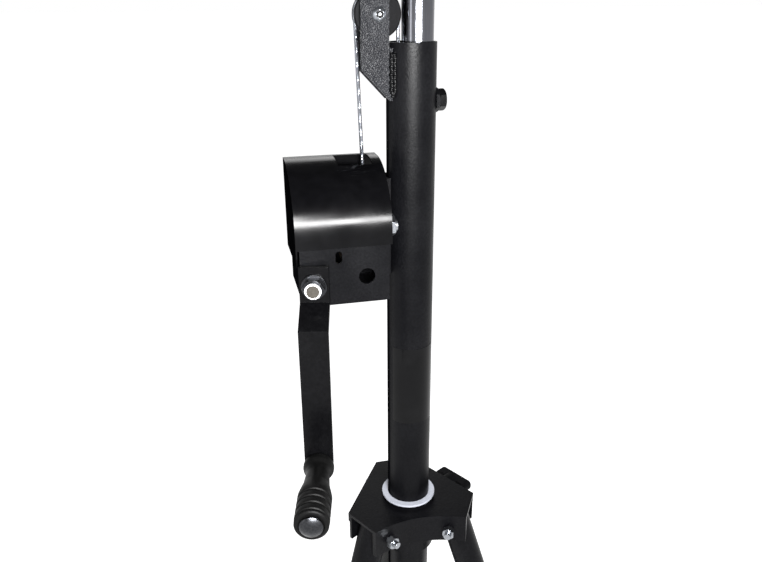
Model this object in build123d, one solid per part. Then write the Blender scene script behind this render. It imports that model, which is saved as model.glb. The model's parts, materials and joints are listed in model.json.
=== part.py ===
from build123d import *

import os
from math import acos, asin, atan, cos, degrees, hypot, pi, radians, sin, sqrt, tan

# Wind-up tripod stand with a worm-gear hand winch.  Millimetres, +Z up.
# The origin is the middle of the mast's foot pad, on the floor.  The winch stands on the -X side
# of the mast and its crank faces -Y.

# ---- Driving dimensions -------------------------------------------------------------------

FIT = 0.08  # radial clearance of running fits
SEAT = 0.03  # radial gap between nested pieces that are fixed together

# Mast
MAST_R = 25.0
MAST_WALL = 2.0
MAST_BORE_R = MAST_R - MAST_WALL
MAST_BOTTOM_Z = 12.0
MAST_TOP_Z = 1454.0
INNER_R = 16.0
INNER_WALL = 2.0
INNER_X = 6.0  # the inner tube stands off centre and leaves room for the rope
INNER_BOTTOM_Z = 62.0
INNER_TOP_Z = 1600.0
SPIGOT_R = 14.0
SPIGOT_TOP_Z = 1684.0
SLIDER_HEIGHT = 40.0
GUIDE_HEIGHT = 30.0
LABEL_Z = (1040.0, 1134.0)
LABEL_THICKNESS = 0.2
LABEL_HALF_ANGLE = 62.0
FOOT_PAD_R = 30.0
LOCK_Z = 1398.0
LOCK_R = 6.2
BOLT_FLATS = 19.0
SMALL_FLATS = 13.0

# Rope and pulley
ROPE_R = 2.0
PULLEY_X = -34.5
PULLEY_Z = 1479.0
PULLEY_ROPE_R = 21.0
PULLEY_R = 22.6
PULLEY_WIDTH = 15.0
CHEEK_INNER_Y = 9.5
CHEEK_THICKNESS = 3.0
CHEEK_OUTER_Y = CHEEK_INNER_Y + CHEEK_THICKNESS
CHEEK_LEFT_X = -52.5
CHEEK_TOP_Z = 1509.0
CHEEK_CORNER_Z = 1430.0
CHEEK_BOTTOM_Z = 1400.0
AXLE_R = 4.0
AXLE_END = 11.0  # the axle's length beyond the far plate
SOCKET_R = 3.0
LOBE_R = 1.05
SOCKET_LOBES = 6
BEAD_R = 4.0
BEAD_X = -21.5
BEAD_Y = 15.2

# Winch drive
DRUM_Y = -40.0
DRUM_Z = 1283.0
DRUM_CORE_R = 20.0
DRUM_ROPE_R = 22.3
DRUM_FLANGE_R = 32.0
DRUM_LEFT_X = -82.0
DRUM_RIGHT_X = -44.6
LIVE_WRAP_X = -52.3
LIVE_WRAP_ANGLE = 250.0
DEAD_WRAP_X = -48.2
DRUM_BORE_R = 9.5
DRUM_HUB_R = 12.0
DRUM_HUB_X = -122.0
DRUM_SHAFT_R = 7.5
DRUM_SHAFT_END_X = -25.0
MODULE = 2.0
GEAR_TEETH = 30
WORM_STARTS = 2
GEAR_X = -105.2
GEAR_WIDTH = 10.0
GEAR_PITCH_R = MODULE * GEAR_TEETH / 2
BACKLASH = 0.4
LEAD_ANGLE = 13.0
WORM_PITCH_R = WORM_STARTS * MODULE / 2 / sin(radians(LEAD_ANGLE))
WORM_LEAD = 2 * pi * WORM_PITCH_R * tan(radians(LEAD_ANGLE))
WORM_HALF_LENGTH = 18.0
WORM_Z = DRUM_Z - GEAR_PITCH_R - WORM_PITCH_R
SHAFT_R = 6.0
SHAFT_REAR_S = -46.0

# Winch frame and hood
SHEET = 3.0
FRAME_LEFT_X = -127.0
FRAME_RIGHT_X = -41.0
FRAME_FRONT_Y = -75.0
FRAME_REAR_Y = -4.0
FRAME_BOTTOM_Z = 1218.5
FRAME_FRONT_TOP_Z = 1278.0
FRAME_RING_R = 34.0
FRAME_TAIL_Y = 16.0  # the right side plate reaches back beside the mast
FRAME_TOP_Z = 1326.0
HOOD_SHEET = 1.5
HOOD_R = 64.0
HOOD_CENTRE_Y = -14.0
HOOD_CENTRE_Z = 1285.0
HOOD_LEFT_X = -130.5
HOOD_RIGHT_X = -38.5
HOOD_REAR_Y = -2.0
HOOD_FRONT_BOTTOM_Z = 1276.0
HOOD_SIDE_BOTTOM_Z = 1259.0
HOOD_REAR_BOTTOM_Z = 1262.0
HOOD_TOP_Z = HOOD_CENTRE_Z + HOOD_R
FRAME_CORNER = 8.0
INSPECTION_HOLE = (-63.0, 1245.0, 8.0)  # x, z and radius
DRAIN_SLOT = (-90.0, 1266.0, 3.25, 5.5)  # x, z, radius and straight length
BASE_SCREW = (-63.0, -66.0)  # x and y
BUSH_R = 9.0
ROPE_SLOT_X = (-82.0, -48.0)
ROPE_SLOT_Y = (-37.0, -7.0)

# Crank, measured along the worm shaft from the gear's mid-plane towards the user
CRANK_PLATE_S = 43.5
CRANK_PLATE = 5.0
CRANK_WIDTH = 28.0
CRANK_ABOVE = 18.5
CRANK_BEND_1 = 18.0
CRANK_BEND_2 = 35.0
CRANK_STEP = 28.0
CRANK_FLANGE = 2.4
SHAFT_END_S = 63.0
CRANK_THROW = 176.4
CRANK_END_R = 14.0
GRIP_START = 77.5
GRIP_LENGTH = 88.0
GRIP_PIN_R = 4.0

# Tripod hub, which slides on the mast
HUB_TOP_Z = 923.0
HUB_PLATE = 3.5
HUB_DEPTH = 35.0
HUB_CORNER_R = 77.0
HUB_CORNER_HALF = 24.0
HUB_SCALLOP = 13.0
HUB_LIP = 11.0
CHEEK_GAP = 18.5  # half the gap in which each leg swings
HUB_CHEEK = 3.5
HUB_SLEEVE_R = 31.0
HUB_SLEEVE_Z = (858.0, 928.0)
HUB_BUSH_R = 28.0
HUB_RING_R = 32.0
HUB_RING_Z = 930.5
LEG_PIVOT_R = 58.0
LEG_PIVOT_Z = 904.0
LEG_BOLT_R = 4.0
LEG_AZIMUTHS = (90.0, 210.0, 330.0)

# Legs, struts and lower collar
LEG_ANGLE = 18.0
LEG_R = 17.5
LEG_WALL = 1.5
LEG_ABOVE_PIVOT = 7.0
LEG_TUBE_END = 930.0
LEG_FOOT_END = 975.0
FOOT_R = 21.0
STRUT_POINT = 450.0
STRUT_LENGTH = 210.0
STRUT_THICKNESS = 3.0
STRUT_HALF_WIDTH = 10.0
COLLAR_PIVOT_R = 45.0
COLLAR_R = 31.0
COLLAR_HEIGHT = 34.0
RIVET_R = 3.0

# Clamp knob of the hub
KNOB_AZIMUTH = 30.0
KNOB_Z = 900.0
CLAMP_R = 5.0
CLAMP_END = 76.0
KNOB_START = 60.0
WING_START = 79.0
WING_END = 93.0
WING_HALF_WIDTH = 25.0
WING_HALF_HEIGHT = 6.5

# ---- Helpers ------------------------------------------------------------------------------

MIN_Z = (Align.CENTER, Align.CENTER, Align.MIN)


def rod(radius, start, end):
    """Solid cylinder from one point to another."""
    start = Vector(*start)
    along = Vector(*end) - start
    return Plane(origin=start, z_dir=along) * Cylinder(radius, along.length, align=MIN_Z)


def pipe(outer, inner, start, end):
    """Hollow cylinder from one point to another."""
    reach = (Vector(*end) - Vector(*start)).normalized()
    return rod(outer, start, end) - rod(inner, Vector(*start) - reach, Vector(*end) + reach)


def block(x, y, z):
    """Box between the given pairs of coordinates."""
    return Pos(x[0], y[0], z[0]) * Box(
        x[1] - x[0], y[1] - y[0], z[1] - z[0], align=(Align.MIN, Align.MIN, Align.MIN)
    )


def prism(plane, points, amount):
    """Straight prism on a closed outline of points, which lies on plane."""
    return extrude(plane * make_face(Polyline(*points, close=True)), amount)


def hexagon(across_flats, start, end):
    """Hexagonal prism with chamfered corners at its far end."""
    start = Vector(*start)
    along = Vector(*end) - start
    plane = Plane(origin=start, z_dir=along)
    corner_r = across_flats / sqrt(3)
    body = extrude(RegularPolygon(corner_r, 6), along.length)
    blank = Cylinder(corner_r, along.length, align=MIN_Z)
    blank = chamfer(blank.edges().sort_by(Axis.Z)[-1], length=0.07 * across_flats)
    return plane * (body & blank)


def nut(across_flats, bore, start, end):
    """Hexagonal nut on the line from start to end."""
    reach = (Vector(*end) - Vector(*start)).normalized()
    return hexagon(across_flats, start, end) - rod(bore, Vector(*start) - reach, Vector(*end) + reach)


def dome(radius, height, start, direction):
    """Domed button head, a slice of a ball, standing on start."""
    ball_r = (radius**2 + height**2) / (2 * height)
    head = Pos(0, 0, height - ball_r) * Sphere(ball_r)
    head = head & Cylinder(radius, height, align=MIN_Z)
    return Plane(origin=Vector(*start), z_dir=Vector(*direction)) * head


def turn(azimuth):
    """Turns a shape that was made on +X to an azimuth about the mast."""
    return Rot(0, 0, azimuth)


parts = {}

# ---- Mast ---------------------------------------------------------------------------------


def mast_axis(z):
    return (0, 0, z)


def lock_line(x):
    return (x, 0, LOCK_Z)


def make_mast():
    outer = pipe(MAST_R, MAST_BORE_R, mast_axis(MAST_BOTTOM_Z), mast_axis(MAST_TOP_Z))
    outer -= rod(LOCK_R + 0.1, lock_line(20), lock_line(30))
    parts["mast_outer_tube"] = outer

    foot = rod(FOOT_PAD_R, mast_axis(0), mast_axis(MAST_BOTTOM_Z))
    foot = chamfer(foot.edges().sort_by(Axis.Z)[0], length=2.0)
    foot += rod(MAST_BORE_R - SEAT, mast_axis(MAST_BOTTOM_Z), mast_axis(MAST_BOTTOM_Z + 24))
    parts["mast_foot_pad"] = foot

    guide_z = MAST_TOP_Z - 2.0
    guide = rod(MAST_BORE_R - SEAT, mast_axis(guide_z - GUIDE_HEIGHT), mast_axis(guide_z))
    guide -= rod(INNER_R + FIT, (INNER_X, 0, guide_z - 2 * GUIDE_HEIGHT), (INNER_X, 0, MAST_TOP_Z))
    guide -= block((-17.0, -8.0), (-3.2, 3.2), (guide_z - 2 * GUIDE_HEIGHT, MAST_TOP_Z))
    parts["mast_top_guide"] = guide

    band = pipe(MAST_R + SEAT + LABEL_THICKNESS, MAST_R + SEAT, mast_axis(LABEL_Z[0]), mast_axis(LABEL_Z[1]))
    reach = 2 * MAST_R
    left = reach * tan(radians(LABEL_HALF_ANGLE))
    wedge = prism(Plane.XY.offset(LABEL_Z[0]), [(0, 0), (-left, -reach), (left, -reach)], 200.0)
    parts["rating_label"] = band & wedge

    boss = hexagon(22.0, lock_line(MAST_R - 1.5), lock_line(MAST_R + 2.5))
    boss -= rod(LOCK_R + 0.1, lock_line(20), lock_line(30))
    parts["lock_bolt_boss"] = boss - rod(MAST_R + SEAT, mast_axis(1300), mast_axis(1450))
    bolt = rod(LOCK_R, lock_line(INNER_X + INNER_R + 0.4), lock_line(MAST_R + 3.0))
    bolt += hexagon(BOLT_FLATS, lock_line(MAST_R + 3.0), lock_line(MAST_R + 9.5))
    parts["mast_lock_bolt"] = bolt


def make_inner_mast():
    tube = pipe(INNER_R, INNER_R - INNER_WALL, (INNER_X, 0, INNER_BOTTOM_Z), (INNER_X, 0, INNER_TOP_Z))
    parts["mast_inner_tube"] = tube

    slider = rod(MAST_BORE_R - FIT, mast_axis(INNER_BOTTOM_Z - 2), mast_axis(INNER_BOTTOM_Z + SLIDER_HEIGHT))
    slider -= rod(INNER_R + SEAT, (INNER_X, 0, INNER_BOTTOM_Z), (INNER_X, 0, INNER_BOTTOM_Z + 2 * SLIDER_HEIGHT))
    slider -= rod(ROPE_R + 0.4, (rope_right_x(), 0, 0), (rope_right_x(), 0, 200.0))
    parts["inner_slider"] = slider

    top = INNER_BOTTOM_Z - 2
    ferrule = rod(3.6, (rope_right_x(), 0, top - 14), (rope_right_x(), 0, top))
    parts["rope_end_ferrule"] = chamfer(ferrule.edges().filter_by(GeomType.CIRCLE), length=0.6)

    spigot = rod(SPIGOT_R, (INNER_X, 0, INNER_TOP_Z), (INNER_X, 0, SPIGOT_TOP_Z))
    spigot = chamfer(spigot.edges().sort_by(Axis.Z)[-1], length=2.0)
    spigot += rod(INNER_R, (INNER_X, 0, INNER_TOP_Z), (INNER_X, 0, INNER_TOP_Z + 6))
    spigot += rod(INNER_R - INNER_WALL - SEAT, (INNER_X, 0, INNER_TOP_Z - 40), (INNER_X, 0, INNER_TOP_Z))
    parts["top_spigot"] = spigot


# ---- Rope, pulley and its bracket ---------------------------------------------------------


def rope_right_x():
    return PULLEY_X + PULLEY_ROPE_R


def axle_line(y):
    return (PULLEY_X, y, PULLEY_Z)


def fleet_angle():
    """Slant of the rope between the pulley's left side and the drum, from the vertical."""
    reach = hypot(LIVE_WRAP_X - PULLEY_X, PULLEY_Z - DRUM_Z)
    return atan((PULLEY_Z - DRUM_Z) / (PULLEY_X - LIVE_WRAP_X)) - acos(PULLEY_ROPE_R / reach)


def rope_lean():
    """Lean of the same run towards the winch, from the vertical."""
    reach = hypot(DRUM_Y, PULLEY_Z - DRUM_Z)
    return atan(-DRUM_Y / (PULLEY_Z - DRUM_Z)) - asin(DRUM_ROPE_R / reach)


def make_rope():
    slant = fleet_angle()
    over = Plane.XZ * CenterArc((PULLEY_X, PULLEY_Z), PULLEY_ROPE_R, 0, 180 + degrees(slant))
    drum_plane = Plane(origin=(LIVE_WRAP_X, DRUM_Y, DRUM_Z), x_dir=(0, 1, 0), z_dir=(-1, 0, 0))
    live = drum_plane * CenterArc((0, 0), DRUM_ROPE_R, -degrees(rope_lean()), LIVE_WRAP_ANGLE)
    run = Line(over @ 1, live @ 0)
    section = Plane(origin=over @ 0, z_dir=over % 0) * Circle(ROPE_R)
    parts["rope_lift_span"] = sweep(section, path=Wire([over.edge(), run.edge(), live.edge()]))

    low = INNER_BOTTOM_Z - 2
    parts["rope_inner_span"] = rod(ROPE_R, (rope_right_x(), 0, low), (rope_right_x(), 0, PULLEY_Z))

    dead = Plane(origin=(DEAD_WRAP_X, DRUM_Y, DRUM_Z), z_dir=(1, 0, 0)) * Torus(DRUM_CORE_R + ROPE_R + SEAT, ROPE_R)
    parts["rope_dead_wrap"] = dead


def make_pulley():
    half = PULLEY_WIDTH / 2
    wheel = rod(PULLEY_R, axle_line(-half), axle_line(half))
    wheel = fillet(wheel.edges().filter_by(GeomType.CIRCLE), radius=1.5)
    groove_r = ROPE_R + 0.8
    groove = Torus(PULLEY_ROPE_R, groove_r)
    mouth = Cylinder(PULLEY_R + 2, 2 * groove_r) - Cylinder(PULLEY_ROPE_R, 4 * groove_r)
    wheel -= Plane(origin=axle_line(0), z_dir=(0, 1, 0)) * (groove + mouth)
    wheel -= rod(6.0 + SEAT, axle_line(-half - 1), axle_line(half + 1))
    parts["pulley_wheel"] = wheel
    bush_y = CHEEK_INNER_Y - 0.3
    parts["pulley_bush"] = pipe(6.0, AXLE_R + FIT, axle_line(-bush_y), axle_line(bush_y))

    bolt = rod(AXLE_R, axle_line(-CHEEK_OUTER_Y), axle_line(CHEEK_OUTER_Y + AXLE_END))
    bolt += dome(6.6, 3.6, axle_line(-CHEEK_OUTER_Y), (0, -1, 0))
    lobes = Sketch() + Circle(SOCKET_R)
    for k in range(SOCKET_LOBES):
        lobes += Rot(0, 0, 360 * k / SOCKET_LOBES) * Pos(SOCKET_R, 0) * Circle(LOBE_R)
    socket = extrude(lobes, 3.0) - Cylinder(1.1, 2.2, align=MIN_Z)
    bolt -= Plane(origin=axle_line(-CHEEK_OUTER_Y - 1.0), z_dir=(0, -1, 0)) * socket
    parts["pulley_axle_bolt"] = bolt
    parts["pulley_axle_nut"] = nut(SMALL_FLATS, AXLE_R + SEAT, axle_line(CHEEK_OUTER_Y), axle_line(CHEEK_OUTER_Y + 8))


def make_bracket():
    step = 5.0
    outline = [
        (CHEEK_LEFT_X, CHEEK_CORNER_Z),
        (-24.5, CHEEK_BOTTOM_Z),
        (-10.0, CHEEK_BOTTOM_Z),
        (-10.0, MAST_TOP_Z - step),
        (-25.0, MAST_TOP_Z - step),
        (-25.0, CHEEK_TOP_Z - step),
        (-25.0 - step, CHEEK_TOP_Z),
        (CHEEK_LEFT_X + step, CHEEK_TOP_Z),
        (CHEEK_LEFT_X, CHEEK_TOP_Z - step),
    ]
    clear_mast = rod(MAST_R + SEAT, mast_axis(1300), mast_axis(1600))
    plates = []
    beads = []
    for side in (-1, 1):
        face_y = side * CHEEK_INNER_Y
        plane = Plane(origin=(0, face_y, 0), x_dir=(1, 0, 0), z_dir=(0, -1, 0))
        plate = prism(plane, outline, -side * CHEEK_THICKNESS)
        plate -= rod(AXLE_R + SEAT, axle_line(-20), axle_line(20))
        plates.append(plate - clear_mast)
        low, high = CHEEK_BOTTOM_Z + 1, MAST_TOP_Z - step - 1
        bead = rod(BEAD_R, (BEAD_X, side * BEAD_Y, low), (BEAD_X, side * BEAD_Y, high))
        bead -= block((-40, 0), (-CHEEK_OUTER_Y - SEAT, CHEEK_OUTER_Y + SEAT), (1300, 1500))
        beads.append(bead - clear_mast)
    parts["pulley_bracket_plates"] = Compound(plates)
    parts["bracket_weld_beads"] = Compound(beads)


# ---- Winch --------------------------------------------------------------------------------

MOUNT_BOLTS = ((6.0, 1234.0), (6.0, 1311.0))  # y and z of the two bolts
MOUNT_HEIGHTS = ((1220.0, 1256.0), (1300.0, 1323.0))
MOUNT_NEAR_Y = -9.5
MOUNT_FAR_Y = 19.5
MOUNT_GUSSET = 3.5
REAR_SCREWS = ((-118.0, 1270.0), (-58.0, 1270.0))  # x and z

SHAFT_DIRECTION = Vector(-sin(radians(LEAD_ANGLE)), -cos(radians(LEAD_ANGLE)), 0)
SHAFT_CENTRE = Vector(GEAR_X, DRUM_Y, WORM_Z)


def shaft_point(s):
    """Point on the worm shaft's axis, s towards the user from below the drum's axis."""
    return SHAFT_CENTRE + SHAFT_DIRECTION * s


def shaft_plane(s):
    """Plane across the worm shaft: its x runs to the right as the user sees it, and its y runs up."""
    right = Vector(cos(radians(LEAD_ANGLE)), -sin(radians(LEAD_ANGLE)), 0)
    return Plane(origin=shaft_point(s), x_dir=right, z_dir=SHAFT_DIRECTION)


def drum_line(x):
    return (x, DRUM_Y, DRUM_Z)


def worm_section():
    """Cross-section of the two-start worm, at the middle of its thread."""
    tip_r = WORM_PITCH_R + MODULE - 0.2
    root_r = WORM_PITCH_R - 1.2 * MODULE
    half = (pi * MODULE / 2 - BACKLASH) / 2 / cos(radians(LEAD_ANGLE))
    slope = tan(radians(20)) / cos(radians(LEAD_ANGLE))

    def flank(radius, side, centre):
        width = half - (radius - WORM_PITCH_R) * slope
        angle = radians(centre) + side * 2 * pi * width / WORM_LEAD
        return (radius * cos(angle), radius * sin(angle))

    middle_r = (tip_r + root_r) / 2
    pitch = 360 / WORM_STARTS
    edges = []
    for start in range(WORM_STARTS):
        centre = pitch * start
        rise = [flank(r, -1, centre) for r in (root_r, middle_r, tip_r)]
        fall = [flank(r, 1, centre) for r in (tip_r, middle_r, root_r)]
        following = flank(root_r, -1, centre + pitch)
        valley = radians(centre + pitch / 2)
        crest = (tip_r * cos(radians(centre)), tip_r * sin(radians(centre)))
        floor = (root_r * cos(valley), root_r * sin(valley))
        edges.append(ThreePointArc(*rise))
        edges.append(ThreePointArc(rise[-1], crest, fall[0]))
        edges.append(ThreePointArc(*fall))
        edges.append(ThreePointArc(fall[-1], floor, following))
    return make_face(edges)


def make_worm_shaft():
    length = 2 * WORM_HALF_LENGTH
    twist = 360 * length / WORM_LEAD
    section = (Rot(0, 0, -twist / 2) * worm_section()).face()
    thread = Solid.extrude_linear_with_rotation(section, (0, 0, 0), (0, 0, length), twist)
    shaft = shaft_plane(-WORM_HALF_LENGTH) * thread
    shaft += rod(SHAFT_R, shaft_point(SHAFT_REAR_S), shaft_point(-WORM_HALF_LENGTH))
    shaft += rod(SHAFT_R, shaft_point(WORM_HALF_LENGTH), shaft_point(SHAFT_END_S))
    parts["worm_shaft"] = shaft


def gear_outline():
    """Straight-cut involute gear, thinned for backlash, with one tooth on the y axis."""
    tip_r = GEAR_PITCH_R + MODULE - 0.2
    root_r = GEAR_PITCH_R - 1.25 * MODULE
    base_r = GEAR_PITCH_R * cos(radians(20))
    half_pitch = (pi * MODULE / 2 - BACKLASH) / 2 / GEAR_PITCH_R

    def involute(radius):
        roll = acos(min(1.0, base_r / radius))
        return tan(roll) - roll

    def flank(radius, side, centre):
        half = half_pitch + involute(GEAR_PITCH_R) - involute(max(radius, base_r))
        angle = centre + side * half
        return (radius * sin(angle), radius * cos(angle))

    middle_r = (tip_r + base_r) / 2
    edges = []
    step = 2 * pi / GEAR_TEETH
    for tooth in range(GEAR_TEETH):
        centre = tooth * step
        foot, rise = flank(root_r, -1, centre), [flank(r, -1, centre) for r in (base_r, middle_r, tip_r)]
        fall, heel = [flank(r, 1, centre) for r in (tip_r, middle_r, base_r)], flank(root_r, 1, centre)
        edges.append(Line(foot, rise[0]))
        edges.append(ThreePointArc(*rise))
        edges.append(Line(rise[-1], fall[0]))
        edges.append(ThreePointArc(*fall))
        edges.append(Line(fall[-1], heel))
        edges.append(Line(heel, flank(root_r, -1, centre + step)))
    return make_face(edges)


def make_drum():
    drum = rod(DRUM_CORE_R, drum_line(DRUM_LEFT_X), drum_line(DRUM_RIGHT_X))
    drum += rod(DRUM_FLANGE_R, drum_line(DRUM_LEFT_X), drum_line(DRUM_LEFT_X + 2))
    drum += rod(DRUM_FLANGE_R, drum_line(DRUM_RIGHT_X - 1.6), drum_line(DRUM_RIGHT_X))
    drum += rod(DRUM_HUB_R, drum_line(DRUM_HUB_X), drum_line(DRUM_LEFT_X))
    drum -= rod(DRUM_BORE_R, drum_line(-130), drum_line(-40))
    parts["rope_drum"] = drum

    gear_plane = Plane(origin=(GEAR_X - GEAR_WIDTH / 2, DRUM_Y, DRUM_Z), x_dir=(0, 1, 0), z_dir=(1, 0, 0))
    gear = extrude(gear_plane * gear_outline(), GEAR_WIDTH)
    gear -= rod(DRUM_HUB_R + SEAT, drum_line(-120), drum_line(-80))
    parts["drum_gear"] = gear

    bushes = [
        pipe(DRUM_BORE_R - SEAT, DRUM_SHAFT_R + FIT, drum_line(DRUM_HUB_X), drum_line(-104)),
        pipe(DRUM_BORE_R - SEAT, DRUM_SHAFT_R + FIT, drum_line(-62), drum_line(DRUM_RIGHT_X)),
    ]
    parts["drum_bushes"] = Compound(bushes)

    shaft = rod(DRUM_SHAFT_R, drum_line(FRAME_LEFT_X + SHEET), drum_line(FRAME_RIGHT_X - SHEET))
    shaft += rod(SHAFT_R, drum_line(FRAME_LEFT_X), drum_line(DRUM_SHAFT_END_X))
    parts["drum_shaft"] = shaft
    washer_x = FRAME_RIGHT_X + 2.5
    parts["drum_shaft_washer"] = pipe(12.0, SHAFT_R + 0.2, drum_line(FRAME_RIGHT_X), drum_line(washer_x))
    parts["drum_shaft_nut"] = nut(BOLT_FLATS, SHAFT_R + SEAT, drum_line(washer_x), drum_line(washer_x + 11))


def make_winch_frame():
    right_x = FRAME_RIGHT_X - SHEET
    depth = (FRAME_FRONT_Y, FRAME_REAR_Y)
    frame = block((right_x, FRAME_RIGHT_X), (DRUM_Y, FRAME_TAIL_Y), (FRAME_BOTTOM_Z, FRAME_TOP_Z))
    for x in (FRAME_LEFT_X, right_x):
        frame += block((x, x + SHEET), depth, (FRAME_BOTTOM_Z, FRAME_FRONT_TOP_Z))
        frame += rod(FRAME_RING_R, drum_line(x), drum_line(x + SHEET))
    corner = FRAME_CORNER
    front_outline = [
        (FRAME_LEFT_X, FRAME_BOTTOM_Z + corner),
        (FRAME_LEFT_X + corner, FRAME_BOTTOM_Z),
        (FRAME_RIGHT_X - corner / 2, FRAME_BOTTOM_Z),
        (FRAME_RIGHT_X, FRAME_BOTTOM_Z + corner / 2),
        (FRAME_RIGHT_X, FRAME_FRONT_TOP_Z),
        (FRAME_LEFT_X, FRAME_FRONT_TOP_Z),
    ]
    front_plane = Plane(origin=(0, FRAME_FRONT_Y + SHEET, 0), x_dir=(1, 0, 0), z_dir=(0, -1, 0))
    frame += prism(front_plane, front_outline, SHEET)
    frame += block(
        (FRAME_LEFT_X, FRAME_RIGHT_X),
        (FRAME_REAR_Y - SHEET, FRAME_REAR_Y),
        (FRAME_BOTTOM_Z, FRAME_FRONT_TOP_Z),
    )
    frame += block(
        (FRAME_LEFT_X + corner, FRAME_RIGHT_X - corner / 2),
        depth,
        (FRAME_BOTTOM_Z, FRAME_BOTTOM_Z + SHEET),
    )
    notch = prism(
        Plane(origin=(0, FRAME_FRONT_Y - 1, 0), x_dir=(1, 0, 0), z_dir=(0, -1, 0)),
        [
            (FRAME_LEFT_X - 1, FRAME_BOTTOM_Z - 1),
            (FRAME_LEFT_X + corner, FRAME_BOTTOM_Z - 1),
            (FRAME_LEFT_X - 1, FRAME_BOTTOM_Z + corner),
        ],
        -200,
    )
    frame -= notch
    hole_x, hole_z, hole_r = INSPECTION_HOLE
    frame -= rod(hole_r, (hole_x, -80, hole_z), (hole_x, -60, hole_z))
    slot_x, slot_z, slot_r, slot_length = DRAIN_SLOT
    slot = Box(2 * slot_r, slot_length, 4 * SHEET)
    for end in (-1, 1):
        slot += Pos(0, end * slot_length / 2, 0) * Cylinder(slot_r, 4 * SHEET)
    frame -= Plane(origin=(slot_x, FRAME_FRONT_Y, slot_z), x_dir=(1, 0, 0), z_dir=(0, -1, 0)) * slot
    frame -= rod(BUSH_R + SEAT, shaft_point(-60), shaft_point(60))
    frame -= rod(SHAFT_R + SEAT, drum_line(-140), drum_line(-30))
    for y, z in MOUNT_BOLTS:
        frame -= rod(4.2, (-60, y, z), (-30, y, z))
    for point in REAR_SCREWS:
        frame -= rod(2.0 + SEAT, (point[0], -12, point[1]), (point[0], 5, point[1]))
    frame -= rod(2.5 + SEAT, (*BASE_SCREW, 1200), (*BASE_SCREW, 1225))
    parts["winch_frame"] = frame

    front_s = (-FRAME_FRONT_Y + DRUM_Y) / cos(radians(LEAD_ANGLE))
    rear_s = -(FRAME_REAR_Y - DRUM_Y) / cos(radians(LEAD_ANGLE))
    front = rod(BUSH_R, shaft_point(front_s - 9), shaft_point(front_s + 4))
    front += rod(BUSH_R + 1, shaft_point(front_s + 2.6), shaft_point(front_s + 7))
    rear = rod(BUSH_R, shaft_point(rear_s - 0.5), shaft_point(rear_s + 12))
    rear += rod(BUSH_R + 2.5, shaft_point(rear_s + 6), shaft_point(rear_s + 9))
    bushes = []
    for bush in (front, rear):
        bushes.append(bush - rod(SHAFT_R + FIT, shaft_point(-100), shaft_point(100)))
    parts["worm_bushes"] = Compound(bushes)


def make_winch_mounts():
    web = 4.0
    clear_mast = rod(MAST_R + SEAT, mast_axis(1200), mast_axis(1400))
    brackets = []
    bolts = []
    nuts = []
    for (y, z), (low, high) in zip(MOUNT_BOLTS, MOUNT_HEIGHTS):
        x0 = FRAME_RIGHT_X
        bracket = block((x0, x0 + web), (MOUNT_NEAR_Y, MOUNT_FAR_Y), (low, high))
        bracket += block((x0, -5), (MOUNT_FAR_Y - MOUNT_GUSSET, MOUNT_FAR_Y), (low, high))
        bracket += block((x0, -5), (MOUNT_NEAR_Y, MOUNT_NEAR_Y + MOUNT_GUSSET), (low, high))
        bracket -= clear_mast
        bracket -= rod(4.2, (x0 - 1, y, z), (x0 + web + 1, y, z))
        brackets.append(bracket)
        inner = x0 - SHEET
        bolt = rod(4.0, (inner, y, z), (x0 + web + 8, y, z)) + dome(7.0, 4.0, (inner, y, z), (-1, 0, 0))
        bolts.append(bolt)
        nuts.append(nut(SMALL_FLATS, 4.0 + SEAT, (x0 + web, y, z), (x0 + web + 6.5, y, z)))
    parts["winch_mast_mounts"] = Compound(brackets)
    parts["winch_mount_bolts"] = Compound(bolts)
    parts["winch_mount_nuts"] = Compound(nuts)


def hood_profile(offset, bottom_z, rear_bottom_z):
    """Side outline of the hood, pulled in by offset, as a face on the plane of y and z."""
    radius = HOOD_R - offset
    front = HOOD_CENTRE_Y - radius
    top = HOOD_CENTRE_Z + radius
    rear = HOOD_REAR_Y - offset
    lines = [
        Line((front, bottom_z), (front, HOOD_CENTRE_Z)),
        CenterArc((HOOD_CENTRE_Y, HOOD_CENTRE_Z), radius, 180, -90),
        Line((HOOD_CENTRE_Y, top), (rear, top)),
        Line((rear, top), (rear, rear_bottom_z)),
        Line((rear, rear_bottom_z), (front, bottom_z)),
    ]
    return make_face(lines)


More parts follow.
